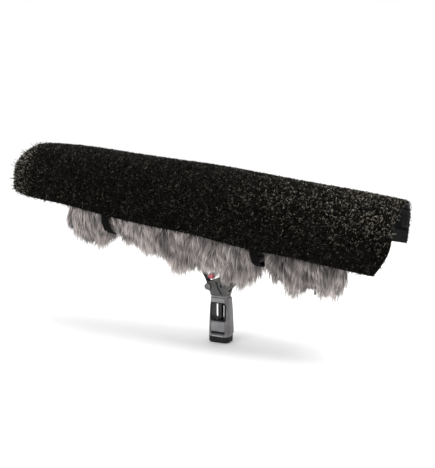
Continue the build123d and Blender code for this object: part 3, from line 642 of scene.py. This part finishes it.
# Stations with the sleeve's half width, and with the depth of its underside, in mm.
FUR_WIDTH = [(-293, 52.8), (-258, 53.8), (-108, 56), (42, 58), (200, 58)]
FUR_BELLY = [
    (-346, 70), (-325, 88), (-300, 97), (-275, 95), (-258, 90), (-249, 86), (-236, 80), (-222, 79),
    (-205, 74), (-186, 84), (-160, 93), (-131, 91), (-112, 99), (-84, 121), (-64, 87), (-47, 95),
    (-30, 97), (-18, 101), (-10, 107), (-3, 122), (6, 116), (16, 108), (36, 110), (54, 98), (66, 88),
    (82, 78), (98, 80), (114, 87), (130, 100), (146, 119), (158, 118), (172, 91), (190, 87), (206, 90),
    (222, 103), (250, 110),
]
STRAPS = {"front": -238.0, "rear": 75.0}
SLIT = (33.0, 22.0)                        # half length and half width of the opening for the stem
FUR_SLANT = 0.35                           # the rear end hangs further forward towards the far side
FUR_TUCK = 12.0                            # its hanging part lies this much ahead of its upper part
LUMP = 3.5                                 # height of the lumps that the pile lies in
ZIP = (144.0, 50.0, 117.8)                 # middle, half length and depth of the placket
PLACKET_HALF = 15.0                        # half width of the placket
ZIP_HALF = 11.0                            # half width of the strip along the zip with no pile
PILE = 45.0                                # length of the pile in the open
SHORT_BY_STRAP, SHORT_UNDER_COVER, SHORT_BY_ZIP = 22.0, 19.0, 24.0
STEM_TUFT = (38.0, 14.0, 12.0)             # tuft behind the stem: middle, half length, extra pile
HEAD_SHADE = (4.0, 27.0, 0.30)             # painted shade on the tips round the head: middle, half length, how much


def fur_skin(rows=150, columns=96):
    """Backing of the sleeve: a tube with round ends whose underside hangs in lumps."""
    # Rows lie closer together towards both ends.
    along = 0.5 - 0.5 * np.cos(math.pi * (0.04 + 0.92 * np.linspace(0, 1, rows)))
    x = FUR_NOSE + (FUR_TAIL - FUR_NOSE) * (along - 0.004) / 0.992
    front = np.clip((FUR_SHOULDER - x) / (FUR_SHOULDER - FUR_NOSE), 0, 1)
    back = np.clip((x - FUR_HIP) / (FUR_TAIL - FUR_HIP), 0, 1)
    ends = np.sqrt(np.clip(1 - front ** 2, 0.0004, 1)) * np.sqrt(np.clip(1 - back ** 2, 0.0004, 1))
    width = eased(FUR_WIDTH, x, 12) * ends
    belly = np.maximum(eased(FUR_BELLY, x, 6) * ends ** np.where(x > 0, 0.14, 0.6), width)
    angle = np.linspace(-math.pi, math.pi, columns)
    lower = np.abs(angle) > math.pi / 2
    y = np.sign(np.sin(angle)) * np.abs(np.sin(angle)) ** np.where(lower, 0.8, 1.0)
    z = np.cos(angle)
    x = x[:, None]
    depth = np.where(lower, belly[:, None], width[:, None])
    y, z = width[:, None] * y, depth * z
    # Lumps under the pile, a rear end cut on the slant, and a flat placket that the zip is sewn to.
    low = np.clip(-z / 60, 0, 1)
    lumps = np.sin(x / 9.1 + 2 * np.sin(z / 23)) * np.sin(z / 12 + 1.4 * np.sin(x / 19) + np.sign(y))
    y = y * (1 + LUMP / 58 * low * lumps)
    z = z - LUMP * low * np.sin(x / 11.3 + y / 17)
    tuck = FUR_TUCK + FUR_SLANT * np.clip(y + 36, 0, None)
    slanted = x - tuck * low * np.clip((x - 150) / 90, 0, 1)
    placket = np.exp(-(y / PLACKET_HALF) ** 4) * (z < 0) * np.exp(-((x - ZIP[0]) / ZIP[1]) ** 8)
    z = z * (1 - placket) - ZIP[2] * placket
    return Skin(np.stack([slanted + 0 * z, y, z], axis=-1) * MM)


fur = fur_skin()
outward = np.sum(fur.normals * (fur.points * np.array([0, 1, 1])), axis=-1)
if outward.mean() < 0:
    fur.normals *= -1


def stem_slit(centres):
    x, y, z = (centres[..., i] / MM for i in range(3))
    return (np.abs(x) < SLIT[0]) & (np.abs(y) < SLIT[1]) & (z < -40)


fur_backing = fur.object("fur_backing", "fur_backing", 1.6 * MM, stem_slit)
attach(fur_backing, "windshield")
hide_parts("fur_sleeve")


def hood_room(x):
    """Half width, near and far lower edges of the space inside the cover at x, in mm."""
    table = COVER[::-1]
    return tuple(np.interp(x, table[:, 0], table[:, i]) for i in (1, 3, 4))


def under_hood(points):
    """Press hair that would pass through the cover back inside it."""
    x, y, z = (points[..., i] / MM for i in range(3))
    half, near, far = hood_room(x)
    room = half - MAT - LINING - 1.2
    edge = np.where(y < 0, near, far)
    reach = np.hypot(y, np.maximum(z, 0) * (1 + CROWN_DROP / CROWN_HEIGHT))
    blend = np.clip((z - edge) / 10, 0, 1)
    scale = np.where(reach > room, 1 + blend * (room / np.maximum(reach, 1) - 1), 1)
    return np.stack([x, y * scale, np.where(z > 0, z * scale, z)], axis=-1) * MM


def strap_distance(x):
    """Signed distance to the nearer strap, in metres."""
    away = np.stack([x - station * MM for station in STRAPS.values()])
    nearest = np.abs(away).argmin(axis=0)
    return np.take_along_axis(away, nearest[None], axis=0)[0]


def covered(points):
    """How far a place lies under the cover: 0 in the open, 1 well inside."""
    x, y, z = (points[..., i] / MM for i in range(3))
    edge = np.where(y < 0, hood_room(x)[1], hood_room(x)[2])
    return np.clip((z - edge + 14) / 24, 0, 1)


def droop(root, normal, length, lean, steps=9):
    """Paths of hairs that leave the skin along its normal and bend over into a hang."""
    hidden = covered(root)[:, None]
    away = strap_distance(root[:, 0])
    pull = np.where(root[:, 0] < 0, 0.35, 1.0) * np.exp(-(away / (20 * MM)) ** 2)
    parting = (pull * np.sign(away))[:, None] * np.array([1.0, 0, 0])
    facing = np.sum(normal * DOWN, axis=-1, keepdims=True)
    surface_down = unit(DOWN - facing * normal + np.array([1e-4, 0, 0]))
    place, paths = root.copy(), [root.copy()]
    stride = length[:, None] / (steps - 1)
    for k in range(steps - 1):
        f = k / (steps - 1)
        heading = normal * (0.75 * (1 - f) ** 1.4 + 0.05) * (1 - 0.75 * hidden)
        heading = heading + surface_down * np.sqrt(np.clip(1 - facing ** 2, 0, 1)) * (0.55 + 0.3 * f)
        heading = heading + DOWN * (0.25 + 0.9 * f) * (1 - 0.8 * hidden)
        heading = heading + lean + parting * (0.95 - 0.35 * f)
        place = place + unit(heading) * stride
        paths.append(place)
    return under_hood(np.stack(paths, axis=1))


def hair_length(root):
    """Length of the pile where it grows, in metres: shorter by a strap, by the zip and under the cover."""
    x, y, z = (root[:, i] / MM for i in range(3))
    middle, half, extra = STEM_TUFT
    by_strap = np.where(x < 0, 0.45, 1.0) * np.exp(-(strap_distance(root[:, 0]) / (15 * MM)) ** 2)
    by_stem = np.exp(-((x - middle) / half) ** 4)
    by_zip = np.exp(-((x - ZIP[0]) / ZIP[1]) ** 8) * np.exp(-(y / 24) ** 4) * (z < 0)
    shorter = SHORT_BY_STRAP * by_strap + SHORT_UNDER_COVER * covered(root) + SHORT_BY_ZIP * by_zip
    return (PILE + extra * by_stem - shorter) * MM


def bare(centres):
    """Places with no pile: under the straps, which press it flat, on the zip and in the stem's slit."""
    x, y, z = (centres[..., i] / MM for i in range(3))
    away = strap_distance(centres[..., 0]) / MM
    # Higher up the flanks the straps have pressed down more of the pile, and the rear one most.
    share = np.clip((z + 95) / 45, 0, 1)
    ahead = np.where(x < 0, 3 + 3 * share, 7 + 7 * share)
    behind = np.where(x < 0, 2 + 1 * share, 6 + 1 * share)
    on_zip = (np.abs(x - ZIP[0]) < ZIP[1] - 2) & (np.abs(y) < ZIP_HALF) & (z < 0)
    return stem_slit(centres) | on_zip | ((away > -ahead) & (away < behind))


def tone_and_painted_shade(points):
    """Light and dark patches of the pile, about 25 mm across, painted as the light and shade of its lumps;
    darker towards the rear; and painted shade on the tips round the head.
    """
    x, y, z = (points[..., i] / MM for i in range(3))
    patches = np.sin(x / 7.7 + 2.3 * np.sin(z / 15)) * np.sin(z / 8.3 + 1.9 * np.sin(x / 21) + np.sign(y))
    drift = np.sin(x / 36 - 2.1) * np.sin(z / 17 + x / 43)
    middle, half, amount = HEAD_SHADE
    by_head = np.exp(-((x - middle) / half) ** 4) * np.clip((-z - 112) / 22, 0, 1)
    return 0.31 * patches + 0.20 * drift - 0.15 * np.clip((x + 150) / 300, 0, 1) - amount * by_head


HAIR_TAPER = np.array([0.9, 1.0, 0.92, 0.75, 0.5, 0.14])      # width at each point from root to tip
HAIR_WIDTH = (0.8, 1.5)


def plant(name, clumps, per_clump, keep):
    """One stretch of fur: hairs gathered into locks, and locks into larger tufts."""
    exposed = 0.28 + 0.72 * (1 - covered(fur.centres))
    weight = keep(fur.centres) * exposed * (1.0 - bare(fur.centres))
    row, column = fur.scatter(clumps, weight)
    # Each tuft leans its locks its own way: slow waves over the sleeve stand for the tufts.
    root, normal = fur.at(row, column)
    x, y = root[:, 0] / MM, root[:, 1] / MM
    z = root[:, 2] / MM
    wave = np.sin(x / 9.5 + 1.7 * np.sin(z / 21)) + 0.7 * np.sin(x / 4.1 + z / 17 + np.sign(y))
    lean = np.zeros((clumps, 3))
    lean[:, 0] = 0.24 * wave + rng.normal(0, 0.17, clumps)
    lean[:, 1] = rng.normal(0, 0.13, clumps)
    lean[:, 2] = rng.normal(0, 0.05, clumps)
    tuft = 0.5 + 0.5 * np.sin(x / 7.3 + 2.1 * np.sin(z / 26) + 1.3 * np.sin(y / 19))
    length = hair_length(root) * (0.76 + 0.30 * tuft + rng.normal(0, 0.10, clumps))
    lock = droop(root, normal, length, lean)
    tone = 0.46 + rng.normal(0, 0.14, clumps)
    hue = rng.random(clumps)

    owner = np.repeat(np.arange(clumps), per_clump)
    count = owner.size
    row = row[owner] + rng.normal(0, 0.75, count)
    column = column[owner] + rng.normal(0, 0.75, count)
    root, normal = fur.at(row, column)
    hairs = droop(root, normal, length[owner] * rng.uniform(0.85, 1.1, count),
                  lean[owner] + rng.normal(0, 0.10, (count, 3)))
    t = np.linspace(0, 1, HAIR_TAPER.size)
    fractions = t[None] * rng.uniform(0.72, 1.0, (count, 1))
    gather = (0.82 * fractions ** 1.2)[..., None]
    paths = at_fractions(hairs, fractions) * (1 - gather) + at_fractions(lock[owner], fractions) * gather
    wiggle = np.sin(fractions * rng.uniform(4, 9, (count, 1)) + rng.uniform(0, 6, (count, 1)))
    paths[..., 0] += wiggle * fractions * rng.uniform(0.2, 1.2, (count, 1)) * MM
    widths = rng.uniform(*HAIR_WIDTH, (count, 1)) * MM * HAIR_TAPER[None]
    own = np.clip((tone[owner] + rng.normal(0, 0.12, count))[:, None] + tone_and_painted_shade(paths), 0.02, 1.0)
    tones = np.stack(np.broadcast_arrays(fractions, own, hue[owner][:, None]), axis=-1)
    sides = strand_sides(paths, normal, rng.uniform(-0.8, 0.8, count))
    piece = ribbons(name, paths, widths, sides, tones, "fur_grey")
    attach(piece, "windshield")
    return piece


fur_pieces = [
    plant("nose_fur", 1500, 9, between(-400, STRAPS["front"])),
    plant("front_fur", 1700, 9, between(STRAPS["front"], -76)),
    plant("middle_fur", 1900, 9, between(-76, STRAPS["rear"])),
    plant("rear_fur", 1900, 9, between(STRAPS["rear"], 300)),
]

# === Straps: webbing that comes out from under the flaps and passes under the fur =====================
STRAP_HALVES = {"front": 57.7, "rear": 64.2}
STRAP_WIDTH, STRAP_THICKNESS, STRAP_DROP = 16.0, 1.6, 98.0
STRAP_TOPS = (-23.0, -22.0)                # near and far ends


def webbing_band(name, x, half):
    """Strap as a closed band: rounded edges, a slight ripple along it and a curl across it."""
    knots = np.array([(-half, STRAP_TOPS[0]), (-half, -40), (-half + 1.5, -60), (-46, -86), (-26, -97),
                      (0, -STRAP_DROP), (26, -97), (46, -86), (half - 1.5, -60), (half, -40),
                      (half, STRAP_TOPS[1])])
    for _ in range(3):                     # corner cutting rounds the route
        ends = knots[[0, -1]]
        near, far = 0.75 * knots[:-1] + 0.25 * knots[1:], 0.25 * knots[:-1] + 0.75 * knots[1:]
        inner = np.stack([near, far], axis=1)
        knots = np.vstack([ends[:1], inner.reshape(-1, 2), ends[1:]])
    run = np.concatenate([[0], np.cumsum(np.linalg.norm(np.diff(knots, axis=0), axis=1))])
    stations = np.linspace(0, run[-1], 120)
    path = np.stack([np.interp(stations, run, knots[:, i]) for i in range(2)], axis=-1)
    heading = unit(np.gradient(path, axis=0))
    outer = np.stack([heading[:, 1], -heading[:, 0]], axis=-1)
    outer *= np.sign(np.sum(outer * (path - path.mean(axis=0)), axis=-1, keepdims=True))
    w, t = STRAP_WIDTH / 2, STRAP_THICKNESS / 2
    ring = [(-w, -0.5 * t), (-w, 0.5 * t), (-w + 0.8, t), (-w / 2, t), (0, t), (w / 2, t), (w - 0.8, t),
            (w, 0.5 * t), (w, -0.5 * t), (w - 0.8, -t), (w / 2, -t), (0, -t), (-w / 2, -t), (-w + 0.8, -t)]
    points, cloth = [], []
    for k, (place, away) in enumerate(zip(path, outer)):
        ripple = 0.5 * math.sin(k / 5.3 + half) + 0.3 * math.sin(k / 2.1)
        for u, v in ring:
            curl = -0.6 * (u / w) ** 2
            spot = place + away * (v + curl + 0.4)
            points.append((x + u + ripple, spot[0], spot[1]))
            cloth.append((u * MM, stations[k] * MM))
    size = len(ring)
    faces = [tuple(reversed(range(size))), tuple(range(len(points) - size, len(points)))]
    for k in range(len(path) - 1):
        for i in range(size):
            j = (i + 1) % size
            faces.append((k * size + i, k * size + j, (k + 1) * size + j, (k + 1) * size + i))
    mesh = bpy.data.meshes.new(name)
    mesh.from_pydata(to_world(np.array(points) * MM).tolist(), [], faces)
    layer = mesh.uv_layers.new(name="Cloth")
    for loop in mesh.loops:
        layer.data[loop.index].uv = cloth[loop.vertex_index]
    shape = bmesh.new()
    shape.from_mesh(mesh)
    bmesh.ops.recalc_face_normals(shape, faces=shape.faces)
    shape.to_mesh(mesh)
    shape.free()
    mesh.shade_smooth()
    piece = mesh_object(name, mesh, "webbing")
    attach(piece, "windshield")
    return piece


for place, station in STRAPS.items():
    band = webbing_band(f"{place}_webbing", station, STRAP_HALVES[place])
    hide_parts(f"{place}_strap")

# === CAD nodes keep their shape and take a finish by their place =====================================
FINISHES = {
    "grip_plastic": ["grip_shell_left", "grip_shell_right", "back_strip"],
    # The head fork takes the darker plastic: painted shade from the fur above it.
    "shaded_head_plastic": ["head_fork"],
    "plate_plastic": ["badge_plate_left", "badge_plate_right", "upper_plate_left", "upper_plate_right"],
    "frame_plastic": ["window_frame", "lock_lever", "saddle"],
    "grip_rubber": ["base_cap"],
    "button_red": ["release_button"],
    "steel": ["shell_screws", "saddle_bolts"],
    "dark_steel": ["tilt_bolt", "tilt_nut"],
    "pin_steel": ["lever_pin"],
    "black_steel": ["spindle_post"],
    "brass": ["boom_insert"],
    "alloy": ["tilt_stem", "chassis_rail", "zip_slider"],
    "basket_plastic": [
        "basket_tube", "front_ring", "rear_ring", "nose_dome", "rear_dome", "friction_washers",
        "front_carrier", "rear_carrier", "front_lock_screw", "rear_lock_screw",
    ],
    "lyre_plastic": ["front_lyre", "rear_lyre"],
    "zip_black": ["zip_tape", "zip_pull", "pull_loop"],
    "hook_tape": ["hook_patches"],
    "band_black": ["rear_band"],
}
for finish, names in FINISHES.items():
    for name in names:
        node = nodes[name]
        if not node.material_slots:
            node.data.materials.append(None)
        for slot in node.material_slots:
            slot.link = "OBJECT"
            slot.material = MATERIALS[finish]

# === Blank label and painted groove shade on the grip's near side ====================================
STRIP_CORNER, STRIP_EDGE = 0.9 * MM, 0.15 * MM
OUTLINE = 32                               # points round a strip
plate_low, plate_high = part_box("badge_plate_left")
foot_low, foot_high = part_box("base_cap")


def rounded_strip(name, length, height, proud, middle, material):
    """Thin strip with round corners and an eased edge, standing proud of middle towards the near side."""
    points = []
    for inset, rise in ((0.0, 0.0), (0.0, proud - STRIP_EDGE), (STRIP_EDGE, proud)):
        radius = STRIP_CORNER - inset
        for k in range(OUTLINE):
            turn = 2 * math.pi * (k + 0.5) / OUTLINE
            along = math.copysign(length / 2 - STRIP_CORNER, math.cos(turn)) + radius * math.cos(turn)
            up = math.copysign(height / 2 - STRIP_CORNER, math.sin(turn)) + radius * math.sin(turn)
            points.append((middle[0] + along, middle[1] - rise, middle[2] + up))
    faces = [tuple(reversed(range(OUTLINE))), tuple(range(2 * OUTLINE, 3 * OUTLINE))]
    for ring in (0, OUTLINE):
        for i in range(OUTLINE):
            j = (i + 1) % OUTLINE
            faces.append((ring + i, ring + j, ring + OUTLINE + j, ring + OUTLINE + i))
    mesh = bpy.data.meshes.new(name)
    mesh.from_pydata(points, [], faces)
    shape = bmesh.new()
    shape.from_mesh(mesh)
    bmesh.ops.recalc_face_normals(shape, faces=shape.faces)
    shape.to_mesh(mesh)
    shape.free()
    piece = mesh_object(name, mesh, material)
    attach(piece, "grip")


label_middle = (0, foot_low[1], foot_high[2] + 1.5 * MM)
rounded_strip("label_strip", 23 * MM, 2.4 * MM, 0.35 * MM, label_middle, "label_blank")
pocket_floor = plate_high[1]
# Black strip under the badge plate: painted shade in the groove there.
groove_shade_middle = (0, pocket_floor, plate_low[2] - 2.4 * MM)
rounded_strip("groove_shade_strip", 27 * MM, 3.6 * MM, 1.2 * MM, groove_shade_middle, "frame_plastic")

# === Floor ==========================================================================================
FLOOR = 9.0
floor_mesh = bpy.data.meshes.new("floor")
floor_shape = bmesh.new()
bmesh.ops.create_circle(floor_shape, cap_ends=True, segments=96, radius=FLOOR)
floor_shape.to_mesh(floor_mesh)
floor_shape.free()
floor = mesh_object("floor", floor_mesh, "studio_floor")
floor.location.z = cad_low.z - 0.5 * MM
